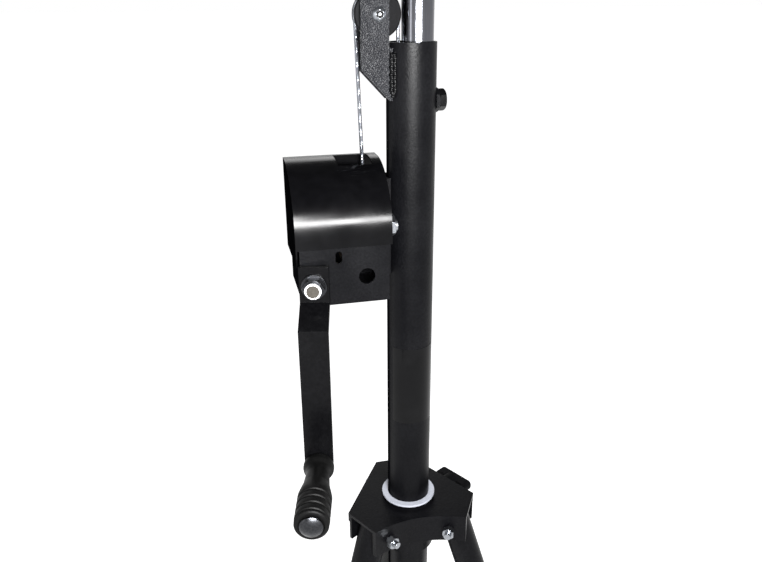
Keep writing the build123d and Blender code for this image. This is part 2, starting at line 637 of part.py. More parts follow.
def make_hood():
    plane = Plane(origin=(HOOD_LEFT_X, 0, 0), x_dir=(0, 1, 0), z_dir=(1, 0, 0))
    width = HOOD_RIGHT_X - HOOD_LEFT_X
    outer = extrude(plane * hood_profile(0, HOOD_FRONT_BOTTOM_Z, HOOD_FRONT_BOTTOM_Z), width)
    cavity_plane = plane.offset(HOOD_SHEET)
    cavity = extrude(cavity_plane * hood_profile(HOOD_SHEET, 1200, 1200), width)
    hood = outer - cavity
    rear = block(
        (HOOD_LEFT_X, HOOD_RIGHT_X),
        (HOOD_REAR_Y - HOOD_SHEET, HOOD_REAR_Y),
        (HOOD_REAR_BOTTOM_Z, HOOD_FRONT_BOTTOM_Z + 1),
    )
    side = prism(
        plane,
        [
            (HOOD_CENTRE_Y - HOOD_R, HOOD_FRONT_BOTTOM_Z + 1),
            (HOOD_CENTRE_Y - HOOD_R + 3, HOOD_SIDE_BOTTOM_Z),
            (HOOD_REAR_Y, HOOD_SIDE_BOTTOM_Z),
            (HOOD_REAR_Y, HOOD_FRONT_BOTTOM_Z + 1),
        ],
        HOOD_SHEET,
    )
    hood += rear + side
    hood -= block(ROPE_SLOT_X, ROPE_SLOT_Y, (HOOD_TOP_Z - 15, HOOD_TOP_Z + 5))
    tail_x = FRAME_RIGHT_X - SHEET - 0.5
    hood -= block((tail_x, HOOD_RIGHT_X), (HOOD_REAR_Y - 2, HOOD_REAR_Y + 1), (1200, FRAME_TOP_Z + 1))
    for x, z in REAR_SCREWS:
        hood -= rod(2.0 + SEAT, (x, -12, z), (x, 5, z))
    parts["winch_hood"] = hood

    screws = []
    for x, z in REAR_SCREWS:
        screw = rod(2.0, (x, HOOD_REAR_Y - 6.5, z), (x, HOOD_REAR_Y, z))
        screws.append(screw + dome(4.0, 2.4, (x, HOOD_REAR_Y, z), (0, 1, 0)))
    base = rod(2.5, (*BASE_SCREW, FRAME_BOTTOM_Z), (*BASE_SCREW, FRAME_BOTTOM_Z + 9))
    screws.append(base + dome(5.0, 3.2, (*BASE_SCREW, FRAME_BOTTOM_Z), (0, 0, -1)))
    parts["winch_cover_screws"] = Compound(screws)


# ---- Crank --------------------------------------------------------------------------------


def arm_plane(right):
    """Plane that holds the crank's side view: its x runs along the shaft, its y runs up."""
    side = shaft_plane(0)
    return Plane(origin=side.origin + side.x_dir * right, x_dir=SHAFT_DIRECTION, z_dir=side.x_dir * -1)


def make_crank():
    s0 = CRANK_PLATE_S
    s1 = s0 + CRANK_PLATE
    step = CRANK_STEP
    drop = 2.0  # the slanted face starts lower on the front than on the back
    outline = [
        (s0, CRANK_ABOVE),
        (s0, -CRANK_BEND_1 - drop),
        (s0 + step, -CRANK_BEND_2 - drop),
        (s0 + step, -CRANK_THROW - CRANK_END_R),
        (s1 + step, -CRANK_THROW - CRANK_END_R),
        (s1 + step, -CRANK_BEND_2 + drop),
        (s1, -CRANK_BEND_1 + drop),
        (s1, CRANK_ABOVE),
    ]
    half = CRANK_WIDTH / 2
    plane = arm_plane(half)
    arm = prism(plane, outline, CRANK_WIDTH)
    end_cut = shaft_plane(s0 - 5) * (
        Pos(0, -CRANK_THROW - CRANK_END_R, 0) * Box(60, 2 * CRANK_END_R, 60, align=MIN_Z)
        - Pos(0, -CRANK_THROW, 0) * Cylinder(CRANK_END_R, 60, align=MIN_Z)
    )
    arm -= end_cut
    for side in (-1, 1):
        flange = Box(3.0, CRANK_ABOVE + CRANK_BEND_1, CRANK_FLANGE + 0.5, align=MIN_Z)
        place = Pos(side * (half - 1.5), (CRANK_ABOVE - CRANK_BEND_1) / 2, 0)
        arm += shaft_plane(s0 - CRANK_FLANGE) * (place * flange)
    arm -= rod(SHAFT_R + SEAT, shaft_point(0), shaft_point(120))
    arm -= rod(GRIP_PIN_R + SEAT, grip_point(40), grip_point(120))
    parts["crank_arm"] = arm

    washer_s = s1 + 2.5
    nut_s = washer_s + 8.0
    parts["crank_washer"] = pipe(12.0, SHAFT_R + 0.2, shaft_point(s1), shaft_point(washer_s))
    crank_nut = hexagon(BOLT_FLATS, shaft_point(washer_s), shaft_point(nut_s))
    crank_nut += rod(8.4, shaft_point(nut_s - 1), shaft_point(nut_s + 2.5))
    parts["crank_nut"] = crank_nut - rod(SHAFT_R + SEAT, shaft_point(0), shaft_point(120))

    end = GRIP_START + GRIP_LENGTH
    pin = rod(GRIP_PIN_R, grip_point(s0 + step - 0.5), grip_point(end + 1.5))
    pin += rod(7.0, grip_point(s0 + step - 4), grip_point(s0 + step))
    parts["grip_pin"] = pin
    cap = rod(10.5, grip_point(end + 0.5), grip_point(end + 1.8)) + dome(
        10.5, 3.6, grip_point(end + 1.8), SHAFT_DIRECTION
    )
    parts["grip_pin_cap"] = cap - rod(GRIP_PIN_R + SEAT, grip_point(0), grip_point(end + 1.5))


def grip_point(s):
    """Point on the grip's own axis, at the foot of the crank arm."""
    return shaft_point(s) + Vector(0, 0, -CRANK_THROW)


def make_grip():
    length = GRIP_LENGTH
    outline = [
        (GRIP_PIN_R + FIT, 0),
        (13.0, 0),
        (15.0, 2.0),
        (15.0, 7.0),
        (12.2, 12.0),
        (11.3, 18.0),
        (12.6, 34.0),
        (14.8, 44.0),
    ]
    for groove in range(4):
        z = 50.0 + 9.0 * groove
        outline += [(16.0, z), (16.0, z + 5.4), (14.6, z + 6.2), (14.6, z + 8.2)]
    outline += [(16.0, length - 2), (16.0, length - 1.6), (14.4, length), (11.6, length)]
    outline += [(11.6, length - 1.5), (GRIP_PIN_R + FIT, length - 1.5)]
    profile = Plane.XZ * make_face(Polyline(*outline, close=True))
    grip = revolve(profile, Axis.Z)
    parts["crank_grip"] = Plane(origin=grip_point(GRIP_START), z_dir=SHAFT_DIRECTION) * grip


# ---- Tripod hub ---------------------------------------------------------------------------


def hub_outline():
    """Plan of the hub plate: three cut corners, straight sides, and a hollow side to the front."""
    corners = []
    for azimuth in LEG_AZIMUTHS:
        out = Vector(1, 0, 0).rotate(Axis.Z, azimuth)
        along = Vector(0, 1, 0).rotate(Axis.Z, azimuth)
        reach = HUB_CORNER_R if azimuth != 90.0 else HUB_CORNER_R - 4
        corners.append(out * reach - along * HUB_CORNER_HALF)
        corners.append(out * reach + along * HUB_CORNER_HALF)
    front_left, front_right = corners[3], corners[4]
    middle = (front_left + front_right) * 0.5 + Vector(0, HUB_SCALLOP, 0)
    edges = [Line(corners[k], corners[(k + 1) % 6]) for k in range(6) if k != 3]
    edges.append(ThreePointArc(front_left, middle, front_right))
    return make_face(edges)


def make_hub():
    bottom = HUB_TOP_Z - HUB_DEPTH
    plan = hub_outline()
    solid = extrude(Plane.XY.offset(bottom) * plan, HUB_DEPTH)
    inner = extrude(Plane.XY.offset(bottom - 1) * offset(plan, -HUB_CHEEK), HUB_DEPTH - HUB_PLATE + 1)
    shell = solid - inner
    for azimuth in LEG_AZIMUTHS:
        opening = block((40, 100), (-CHEEK_GAP, CHEEK_GAP), (bottom - 1, HUB_TOP_Z - HUB_PLATE))
        for side in (-1, 1):
            y0, y1 = sorted((side * CHEEK_GAP, side * (CHEEK_GAP + HUB_CHEEK)))
            cheek = block((34, 90), (y0, y1), (bottom, HUB_TOP_Z - 1))
            shell += (turn(azimuth) * cheek) & solid
        shell -= turn(azimuth) * opening
    for azimuth in (30.0, 150.0):
        window = block((30, 90), (-70, 70), (bottom - 1, HUB_TOP_Z - HUB_LIP))
        cut = turn(azimuth) * window
        for leg in LEG_AZIMUTHS:
            lane = block((0, 120), (-CHEEK_GAP - HUB_CHEEK, CHEEK_GAP + HUB_CHEEK), (bottom - 2, HUB_TOP_Z))
            cut -= turn(leg) * lane
        shell -= cut
    shell += rod(HUB_SLEEVE_R, mast_axis(HUB_SLEEVE_Z[0]), mast_axis(HUB_SLEEVE_Z[1]))
    shell -= rod(HUB_BUSH_R + SEAT, mast_axis(800), mast_axis(1000))
    for azimuth in LEG_AZIMUTHS:
        shell -= turn(azimuth) * rod(
            LEG_BOLT_R + SEAT, (LEG_PIVOT_R, -60, LEG_PIVOT_Z), (LEG_PIVOT_R, 60, LEG_PIVOT_Z)
        )
    shell -= turn(KNOB_AZIMUTH) * rod(CLAMP_R + 0.2, (20, 0, KNOB_Z), (60, 0, KNOB_Z))
    shell += turn(KNOB_AZIMUTH) * (
        rod(10.0, (HUB_SLEEVE_R - 2, 0, KNOB_Z), (HUB_SLEEVE_R + 11, 0, KNOB_Z))
        - rod(CLAMP_R + 0.2, (20, 0, KNOB_Z), (60, 0, KNOB_Z))
        - rod(HUB_SLEEVE_R - 0.5, mast_axis(800), mast_axis(1000))
    )
    parts["hub_shell"] = shell

    bush = rod(HUB_BUSH_R, mast_axis(HUB_SLEEVE_Z[0]), mast_axis(HUB_SLEEVE_Z[1]))
    bush += rod(HUB_RING_R, mast_axis(HUB_SLEEVE_Z[1]), mast_axis(HUB_RING_Z))
    bush -= rod(MAST_R + FIT, mast_axis(800), mast_axis(1000))
    bush -= turn(KNOB_AZIMUTH) * rod(CLAMP_R + 0.2, (20, 0, KNOB_Z), (60, 0, KNOB_Z))
    parts["hub_bush"] = bush

    bolts = []
    nuts = []
    head_y = -(CHEEK_GAP + HUB_CHEEK)
    for azimuth in LEG_AZIMUTHS:
        sense = -1 if azimuth == 330.0 else 1
        start = (LEG_PIVOT_R, sense * head_y, LEG_PIVOT_Z)
        bolt = rod(LEG_BOLT_R, start, (LEG_PIVOT_R, sense * 41.0, LEG_PIVOT_Z))
        bolt += hexagon(SMALL_FLATS, start, (LEG_PIVOT_R, sense * (head_y - 5.3), LEG_PIVOT_Z))
        bolts.append(turn(azimuth) * bolt)
        holder = nut(
            SMALL_FLATS,
            LEG_BOLT_R + SEAT,
            (LEG_PIVOT_R, sense * 29.3, LEG_PIVOT_Z),
            (LEG_PIVOT_R, sense * 36.3, LEG_PIVOT_Z),
        )
        nuts.append(turn(azimuth) * holder)
    parts["leg_pivot_bolts"] = Compound(bolts)
    parts["leg_pivot_nuts"] = Compound(nuts)


def make_clamp_knob():
    def line(r):
        return (r, 0, KNOB_Z)

    screw = rod(CLAMP_R, line(MAST_R + 0.1), line(CLAMP_END))
    knob = rod(11.0, line(KNOB_START + 6), line(WING_START + 3))
    knob += rod(9.0, line(KNOB_START), line(KNOB_START + 6))
    wing = block(
        (WING_START, WING_END),
        (-WING_HALF_WIDTH, WING_HALF_WIDTH),
        (KNOB_Z - WING_HALF_HEIGHT, KNOB_Z + WING_HALF_HEIGHT),
    )
    wing = fillet(wing.edges().filter_by(Axis.X), radius=5.5)
    wing = fillet(wing.edges().group_by(Axis.X)[-1], radius=3.0)
    knob += wing
    knob -= rod(CLAMP_R + SEAT, line(KNOB_START - 1), line(CLAMP_END))
    parts["clamp_screw"] = turn(KNOB_AZIMUTH) * screw
    parts["clamp_knob"] = turn(KNOB_AZIMUTH) * knob


# ---- Legs, struts and lower collar --------------------------------------------------------


def leg_plane():
    """Plane of a leg on +X: its z runs down the leg from the pivot, its x runs along +Y."""
    down = Vector(sin(radians(LEG_ANGLE)), 0, -cos(radians(LEG_ANGLE)))
    return Plane(origin=(LEG_PIVOT_R, 0, LEG_PIVOT_Z), x_dir=(0, 1, 0), z_dir=down)


def leg_point(distance):
    return Vector(LEG_PIVOT_R, 0, LEG_PIVOT_Z) + leg_plane().z_dir * distance


STRUT_FAR = leg_point(STRUT_POINT)
COLLAR_PIVOT_Z = STRUT_FAR.Z - sqrt(STRUT_LENGTH**2 - (STRUT_FAR.X - COLLAR_PIVOT_R) ** 2)


def make_leg(index, azimuth):
    tube = pipe(LEG_R, LEG_R - LEG_WALL, leg_point(-LEG_ABOVE_PIVOT), leg_point(LEG_TUBE_END))
    tube -= rod(LEG_BOLT_R + FIT, (LEG_PIVOT_R, -30, LEG_PIVOT_Z), (LEG_PIVOT_R, 30, LEG_PIVOT_Z))
    far = STRUT_FAR
    tube -= rod(RIVET_R + SEAT, (far.X, -30, far.Z), (far.X, 30, far.Z))
    parts[f"leg_{index}_tube"] = turn(azimuth) * tube

    stub = rod(RIVET_R, (far.X, -LEG_R - 0.3, far.Z), (far.X, LEG_R + 0.3, far.Z))
    parts[f"leg_{index}_strut_pin"] = turn(azimuth) * stub

    foot = rod(FOOT_R, leg_point(LEG_TUBE_END - 32), leg_point(LEG_FOOT_END + 20))
    foot -= rod(LEG_R + SEAT, leg_point(LEG_TUBE_END - 60), leg_point(LEG_TUBE_END))
    foot -= block((200, 500), (-60, 60), (-100, 0))
    parts[f"leg_{index}_foot"] = turn(azimuth) * foot


def make_strut(index, azimuth):
    near = Vector(COLLAR_PIVOT_R, 0, COLLAR_PIVOT_Z)
    along = (STRUT_FAR - near).normalized()
    bars = []
    for side in (-1, 1):
        y = side * (LEG_R + 0.9)
        plane = Plane(origin=(near.X, y, near.Z), x_dir=along, z_dir=(0, side, 0))
        bar = Pos(STRUT_LENGTH / 2, 0, 0) * Box(STRUT_LENGTH, 2 * STRUT_HALF_WIDTH, STRUT_THICKNESS, align=MIN_Z)
        bar += Cylinder(STRUT_HALF_WIDTH, STRUT_THICKNESS, align=MIN_Z)
        bar += Pos(STRUT_LENGTH, 0, 0) * Cylinder(STRUT_HALF_WIDTH, STRUT_THICKNESS, align=MIN_Z)
        bar -= Cylinder(RIVET_R + FIT, 20)
        head = Pos(STRUT_LENGTH, 0, STRUT_THICKNESS) * Cylinder(5.5, 2.2, align=MIN_Z)
        head = chamfer(head.edges().sort_by(Axis.Z)[-1], length=0.8)
        bars.append(plane * (bar + head))
    parts[f"strut_{index}"] = turn(azimuth) * Compound(bars)


def make_collar():
    low = COLLAR_PIVOT_Z - COLLAR_HEIGHT / 2
    high = COLLAR_PIVOT_Z + COLLAR_HEIGHT / 2
    collar = rod(COLLAR_R, mast_axis(low), mast_axis(high))
    rivets = []
    inner = LEG_R + 0.9 + STRUT_THICKNESS + 0.6
    for azimuth in LEG_AZIMUTHS:
        for side in (-1, 1):
            y0, y1 = sorted((side * inner, side * (inner + 3.5)))
            ear = block((15, COLLAR_PIVOT_R), (y0, y1), (COLLAR_PIVOT_Z - 10, COLLAR_PIVOT_Z + 10))
            ear += rod(10.0, (COLLAR_PIVOT_R, y0, COLLAR_PIVOT_Z), (COLLAR_PIVOT_R, y1, COLLAR_PIVOT_Z))
            ear -= rod(RIVET_R + SEAT, (COLLAR_PIVOT_R, -60, COLLAR_PIVOT_Z), (COLLAR_PIVOT_R, 60, COLLAR_PIVOT_Z))
            collar += turn(azimuth) * ear
            start = (COLLAR_PIVOT_R, side * (LEG_R + 1.0), COLLAR_PIVOT_Z)
            stop = (COLLAR_PIVOT_R, side * (inner + 3.5), COLLAR_PIVOT_Z)
            rivet = rod(RIVET_R, start, stop) + dome(5.5, 2.6, stop, (0, side, 0))
            rivets.append(turn(azimuth) * rivet)
    collar -= rod(MAST_R + SEAT, mast_axis(low - 1), mast_axis(high + 1))
    parts["lower_collar"] = collar
    parts["collar_rivets"] = Compound(rivets)


# ---- Build and write ----------------------------------------------------------------------

make_mast()
make_inner_mast()
make_rope()
make_pulley()
make_bracket()
make_worm_shaft()
make_drum()
make_winch_frame()
make_winch_mounts()
make_hood()
make_crank()
make_grip()
make_hub()
make_clamp_knob()
make_collar()
for number, leg_azimuth in enumerate(LEG_AZIMUTHS, start=1):
    make_leg(number, leg_azimuth)
    make_strut(number, leg_azimuth)

os.makedirs("parts", exist_ok=True)
for name, shape in parts.items():
    export_step(shape, f"parts/{name}.step")
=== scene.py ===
import json
from collections import namedtuple
from math import acos, asin, atan, cos, hypot, pi, radians, sin

import bpy
from mathutils import Matrix, Vector


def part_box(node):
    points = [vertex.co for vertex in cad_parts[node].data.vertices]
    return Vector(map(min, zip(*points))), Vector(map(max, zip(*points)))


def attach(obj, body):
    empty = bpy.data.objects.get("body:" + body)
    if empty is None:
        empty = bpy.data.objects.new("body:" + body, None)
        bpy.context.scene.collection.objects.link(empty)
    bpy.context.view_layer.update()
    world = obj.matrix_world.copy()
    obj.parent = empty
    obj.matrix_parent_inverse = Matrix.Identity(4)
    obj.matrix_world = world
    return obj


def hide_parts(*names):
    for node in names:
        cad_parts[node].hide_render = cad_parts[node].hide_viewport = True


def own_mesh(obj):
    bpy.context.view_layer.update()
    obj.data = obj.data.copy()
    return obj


# Wind-up tripod stand.  Metres, +Z up, origin at the middle of the mast foot on the floor.

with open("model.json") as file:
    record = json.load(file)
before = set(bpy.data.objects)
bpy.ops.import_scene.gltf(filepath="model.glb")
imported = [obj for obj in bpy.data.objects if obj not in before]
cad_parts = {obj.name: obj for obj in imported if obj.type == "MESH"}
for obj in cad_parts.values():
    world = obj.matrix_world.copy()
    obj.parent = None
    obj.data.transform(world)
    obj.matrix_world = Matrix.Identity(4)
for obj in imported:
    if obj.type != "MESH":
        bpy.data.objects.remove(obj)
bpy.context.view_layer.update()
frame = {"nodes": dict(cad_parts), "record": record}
joints = {joint["name"]: joint for joint in frame["record"]["behaviour"]["joints"]}

MM = 0.001
X = Vector((1, 0, 0))
Y = Vector((0, 1, 0))
Z = Vector((0, 0, 1))


def node_middle(node):
    """Middle of a CAD node's box."""
    low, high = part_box(node)
    return (Vector(low) + Vector(high)) / 2


# ---- Camera, stage and lights -------------------------------------------------------------

CAMERA_PLACE = (-0.1932, -0.6973, 1.4876)
CAMERA_HEADING = 13.0  # degrees to the right of +Y
CAMERA_PITCH = 21.3  # degrees below the horizon
CAMERA_ROLL = -0.49
CAMERA_LENS = 33.54
CAMERA_NEAR = 0.02
SENSOR = 36.0

HORIZON_LIGHT = 1.0
OVERHEAD_LIGHT = 0.10
FADE_START = 0.05  # sine of the height above the horizon
FADE_END = 0.22
WHITE = (1.0, 1.0, 1.0, 1.0)

FLOOR_HALF = 200.0
FLOOR_COLOUR = (0.92, 0.92, 0.92, 1.0)
FLOOR_ROUGHNESS = 0.9
FLOOR_SPECULAR = 0.1
FLOOR_GLOW = 0.97

# name, place, target, size and power
LIGHTS = (
    ("front_softbox", (-0.10, -0.80, 1.46), (-0.085, -0.03, 1.28), (0.50, 0.10), 22.0),
    ("camera_flash", (-0.10, -0.78, 1.56), (0.0, 0.0, 1.35), (0.07, 0.16), 6.5),
    ("back_softbox", (0.0, 2.4, 2.3), (0.0, 0.0, 1.2), (2.2, 0.9), 12.0),
    ("left_softbox", (-1.8, -0.9, 1.7), (-0.05, 0.0, 1.2), (0.4, 1.0), 5.0),
)


def add_camera():
    data = bpy.data.cameras.new("camera")
    data.lens = CAMERA_LENS
    data.sensor_width = SENSOR
    data.clip_start = CAMERA_NEAR
    camera = bpy.data.objects.new("camera", data)
    turn = Matrix.Rotation(radians(-CAMERA_HEADING), 4, "Z")
    tilt = Matrix.Rotation(radians(90.0 - CAMERA_PITCH), 4, "X")
    roll = Matrix.Rotation(radians(CAMERA_ROLL), 4, "Z")
    camera.matrix_world = Matrix.Translation(CAMERA_PLACE) @ turn @ tilt @ roll
    bpy.context.scene.collection.objects.link(camera)
    bpy.context.scene.camera = camera


def add_light(name, place, target, size, power):
    data = bpy.data.lights.new(name, "AREA")
    data.shape = "RECTANGLE"
    data.size, data.size_y = size
    data.energy = power
    light = bpy.data.objects.new(name, data)
    aim = (Vector(target) - Vector(place)).to_track_quat("-Z", "Y")
    light.matrix_world = Matrix.Translation(place) @ aim.to_matrix().to_4x4()
    bpy.context.scene.collection.objects.link(light)


def add_world():
    """A sky that is bright at the horizon and dim overhead."""
    world = bpy.data.worlds.new("studio")
    world.use_nodes = True
    tree = world.node_tree
    direction = tree.nodes.new("ShaderNodeTexCoord").outputs["Generated"]
    height = tree.nodes.new("ShaderNodeSeparateXYZ")
    tree.links.new(direction, height.inputs["Vector"])
    fade = tree.nodes.new("ShaderNodeMapRange")
    fade.interpolation_type = "SMOOTHSTEP"
    fade.inputs["From Min"].default_value = FADE_START
    fade.inputs["From Max"].default_value = FADE_END
    fade.inputs["To Min"].default_value = HORIZON_LIGHT
    fade.inputs["To Max"].default_value = OVERHEAD_LIGHT
    tree.links.new(height.outputs["Z"], fade.inputs["Value"])
    tree.links.new(fade.outputs["Result"], tree.nodes["Background"].inputs["Strength"])
    tree.nodes["Background"].inputs["Color"].default_value = WHITE
    bpy.context.scene.world = world
    bpy.context.scene.view_settings.view_transform = "Standard"


def add_floor():
    half = FLOOR_HALF
    mesh = bpy.data.meshes.new("floor")
    corners = [(-half, -half, 0), (half, -half, 0), (half, half, 0), (-half, half, 0)]
    mesh.from_pydata(corners, [], [(0, 1, 2, 3)])
    floor = bpy.data.objects.new("floor", mesh)
    bpy.context.scene.collection.objects.link(floor)
    paint = bpy.data.materials.new("floor_paint")
    paint.use_nodes = True
    shader = paint.node_tree.nodes["Principled BSDF"]
    shader.inputs["Base Color"].default_value = FLOOR_COLOUR
    shader.inputs["Roughness"].default_value = FLOOR_ROUGHNESS
    shader.inputs["Specular IOR Level"].default_value = FLOOR_SPECULAR
    shader.inputs["Emission Color"].default_value = WHITE
    shader.inputs["Emission Strength"].default_value = FLOOR_GLOW
    mesh.materials.append(paint)


add_camera()
add_world()
add_floor()
for light_row in LIGHTS:
    add_light(*light_row)

# ---- Materials ----------------------------------------------------------------------------

# Grain is the size of the surface pattern and depth its height, both in millimetres.
# Pattern is fine noise, hammered cells or brushing along the mast.
Finish = namedtuple("Finish", "dark light roughness metallic specular grain depth pattern")

FINISHES = {
    "black_powder": Finish(
        dark=(0.0010, 0.0010, 0.0014), light=(0.0045, 0.0046, 0.0054), roughness=(0.30, 0.42),
        metallic=0.0, specular=0.08, grain=1.1, depth=0.18, pattern="noise",
    ),
    "crank_black": Finish(
        dark=(0.0010, 0.0010, 0.0012), light=(0.0030, 0.0030, 0.0034), roughness=(0.20, 0.30),
        metallic=0.0, specular=0.10, grain=1.6, depth=0.05, pattern="noise",
    ),
    "hammertone_black": Finish(
        dark=(0.003, 0.003, 0.004), light=(0.024, 0.025, 0.028), roughness=(0.24, 0.36),
        metallic=0.0, specular=0.08, grain=1.2, depth=0.46, pattern="cells",
    ),
    "hood_plastic": Finish(
        dark=(0.0008, 0.0008, 0.0010), light=(0.0020, 0.0020, 0.0024), roughness=(0.15, 0.24),
        metallic=0.0, specular=0.13, grain=5.0, depth=0.02, pattern="noise",
    ),
    "label_black": Finish(
        dark=(0.0020, 0.0020, 0.0022), light=(0.0035, 0.0035, 0.0038), roughness=(0.14, 0.20),
        metallic=0.0, specular=0.12, grain=5.0, depth=0.006, pattern="noise",
    ),
    "chrome": Finish(
        dark=(0.10, 0.103, 0.115), light=(0.17, 0.172, 0.185), roughness=(0.12, 0.22),
        metallic=1.0, specular=0.5, grain=0.7, depth=0.006, pattern="brushed",
    ),
    "zinc": Finish(
        dark=(0.24, 0.25, 0.27), light=(0.44, 0.46, 0.49), roughness=(0.20, 0.38),
        metallic=1.0, specular=0.5, grain=0.8, depth=0.02, pattern="noise",
    ),
    # Zinc darkened to paint in the dark reflections on the crank nut, its washer and the grip's pin cap:
    # painted shade.
    "zinc_painted_shade": Finish(
        dark=(0.030, 0.031, 0.034), light=(0.070, 0.072, 0.078), roughness=(0.22, 0.36),
        metallic=1.0, specular=0.5, grain=0.8, depth=0.03, pattern="noise",
    ),
    # Near-white look for the ring on the crank nut's face: a painted highlight on zinc.
    "zinc_painted_highlight": Finish(
        dark=(0.80, 0.81, 0.84), light=(0.95, 0.95, 0.97), roughness=(0.40, 0.50),
        metallic=0.0, specular=0.5, grain=0.8, depth=0.01, pattern="noise",
    ),
    "rope_wire": Finish(
        dark=(0.16, 0.17, 0.20), light=(0.62, 0.64, 0.68), roughness=(0.24, 0.38),
        metallic=1.0, specular=0.5, grain=0.4, depth=0.02, pattern="noise",
    ),
    "steel_drive": Finish(
        dark=(0.055, 0.050, 0.044), light=(0.090, 0.084, 0.074), roughness=(0.45, 0.60),
        metallic=1.0, specular=0.5, grain=0.9, depth=0.02, pattern="noise",
    ),
    "bronze": Finish(
        dark=(0.42, 0.29, 0.14), light=(0.58, 0.42, 0.22), roughness=(0.30, 0.45),
        metallic=1.0, specular=0.5, grain=0.6, depth=0.02, pattern="noise",
    ),
    "black_nylon": Finish(
        dark=(0.0025, 0.0025, 0.0028), light=(0.0060, 0.0060, 0.0066), roughness=(0.40, 0.54),
        metallic=0.0, specular=0.03, grain=0.8, depth=0.03, pattern="noise",
    ),
    "white_nylon": Finish(
        dark=(0.30, 0.31, 0.35), light=(0.40, 0.42, 0.47), roughness=(0.34, 0.46),
        metallic=0.0, specular=0.3, grain=1.0, depth=0.02, pattern="noise",
    ),
    "black_rubber": Finish(
        dark=(0.0012, 0.0012, 0.0012), light=(0.0035, 0.0035, 0.0035), roughness=(0.38, 0.52),
        metallic=0.0, specular=0.10, grain=0.7, depth=0.04, pattern="noise",
    ),
}
# The crank nut, its washer and the pin cap take the zinc with painted shade.
NODE_LOOKS = {"crank_nut": "zinc_painted_shade", "crank_washer": "zinc_painted_shade", "grip_pin_cap": "zinc_painted_shade"}
MATT_SIDES = ("black_powder", "hood_plastic", "crank_black")
MATT_FROM = 0.86  # size of the normal's x where the gloss starts to fade
MATT_TO = 0.98
NOISE_RANGE = (0.3, 0.7)
CLOUD_SCALE = 28.0
CLOUD_DETAIL = 5.0
GRAIN_DETAIL = 3.0
CELL_SMOOTHNESS = 0.6
BRUSH_STRETCH = 0.04
CLOUD_SHARE = (0.4, 1.0)
GRAIN_SHARE = (0.2, 1.0)


def add_node(tree, kind, **settings):
    node = tree.nodes.new(kind)
    for key, value in settings.items():
        setattr(node, key, value)
    return node


def ranged(tree, source, low, high):
    """The noise value of source, spread from low to high."""
    spread = add_node(tree, "ShaderNodeMapRange")
    spread.inputs["From Min"].default_value = NOISE_RANGE[0]
    spread.inputs["From Max"].default_value = NOISE_RANGE[1]
    spread.inputs["To Min"].default_value = low
    spread.inputs["To Max"].default_value = high
    tree.links.new(source, spread.inputs["Value"])
    return spread.outputs["Result"]


def matt_sides(tree, shader, specular):
    """Takes the gloss off the faces that look to the left or right."""
    normal = add_node(tree, "ShaderNodeTexCoord").outputs["Normal"]
    axes = add_node(tree, "ShaderNodeSeparateXYZ")
    tree.links.new(normal, axes.inputs["Vector"])
    sideways = add_node(tree, "ShaderNodeMath", operation="ABSOLUTE")
    tree.links.new(axes.outputs["X"], sideways.inputs[0])
    gloss = add_node(tree, "ShaderNodeMapRange")
    gloss.inputs["From Min"].default_value = MATT_FROM
    gloss.inputs["From Max"].default_value = MATT_TO
    gloss.inputs["To Min"].default_value = specular
    gloss.inputs["To Max"].default_value = 0.0
    tree.links.new(sideways.outputs["Value"], gloss.inputs["Value"])
    tree.links.new(gloss.outputs["Result"], shader.inputs["Specular IOR Level"])


def grain_height(tree, place, finish):
    """Height of the surface pattern, from 0 to 1."""
    mapping = add_node(tree, "ShaderNodeMapping")
    stretch = BRUSH_STRETCH if finish.pattern == "brushed" else 1.0
    mapping.inputs["Scale"].default_value = (1.0, 1.0, stretch)
    tree.links.new(place, mapping.inputs["Vector"])
    if finish.pattern == "cells":
        cells = add_node(tree, "ShaderNodeTexVoronoi", feature="SMOOTH_F1")
        cells.inputs["Scale"].default_value = 1.0 / (finish.grain * MM)
        cells.inputs["Smoothness"].default_value = CELL_SMOOTHNESS
        tree.links.new(mapping.outputs["Vector"], cells.inputs["Vector"])
        return cells.outputs["Distance"]
    fine = add_node(tree, "ShaderNodeTexNoise")
    fine.inputs["Scale"].default_value = 0.5 / (finish.grain * MM)
    fine.inputs["Detail"].default_value = GRAIN_DETAIL
    tree.links.new(mapping.outputs["Vector"], fine.inputs["Vector"])
    return fine.outputs["Fac"]


def make_finish(name):
    finish = FINISHES[name]
    material = bpy.data.materials.new(name)
    material.use_nodes = True
    tree = material.node_tree
    shader = tree.nodes["Principled BSDF"]
    shader.inputs["Metallic"].default_value = finish.metallic
    shader.inputs["Specular IOR Level"].default_value = finish.specular
    if name in MATT_SIDES:
        matt_sides(tree, shader, finish.specular)

    place = add_node(tree, "ShaderNodeTexCoord").outputs["Object"]
    cloud = add_node(tree, "ShaderNodeTexNoise")
    cloud.inputs["Scale"].default_value = CLOUD_SCALE
    cloud.inputs["Detail"].default_value = CLOUD_DETAIL
    tree.links.new(place, cloud.inputs["Vector"])
    height = grain_height(tree, place, finish)

    mix = add_node(tree, "ShaderNodeMix", data_type="RGBA")
    mix.inputs["A"].default_value = (*finish.dark, 1.0)
    mix.inputs["B"].default_value = (*finish.light, 1.0)
    blend = add_node(tree, "ShaderNodeMath", operation="MULTIPLY")
    tree.links.new(ranged(tree, cloud.outputs["Fac"], *CLOUD_SHARE), blend.inputs[0])
    tree.links.new(ranged(tree, height, *GRAIN_SHARE), blend.inputs[1])
    tree.links.new(blend.outputs["Value"], mix.inputs["Factor"])
    tree.links.new(mix.outputs["Result"], shader.inputs["Base Color"])
    tree.links.new(ranged(tree, cloud.outputs["Fac"], *finish.roughness), shader.inputs["Roughness"])

    bump = add_node(tree, "ShaderNodeBump")
    bump.inputs["Strength"].default_value = 1.0
    bump.inputs["Distance"].default_value = finish.depth * MM
    tree.links.new(height, bump.inputs["Height"])
    tree.links.new(bump.outputs["Normal"], shader.inputs["Normal"])
    return material


finishes = {name: make_finish(name) for name in FINISHES}


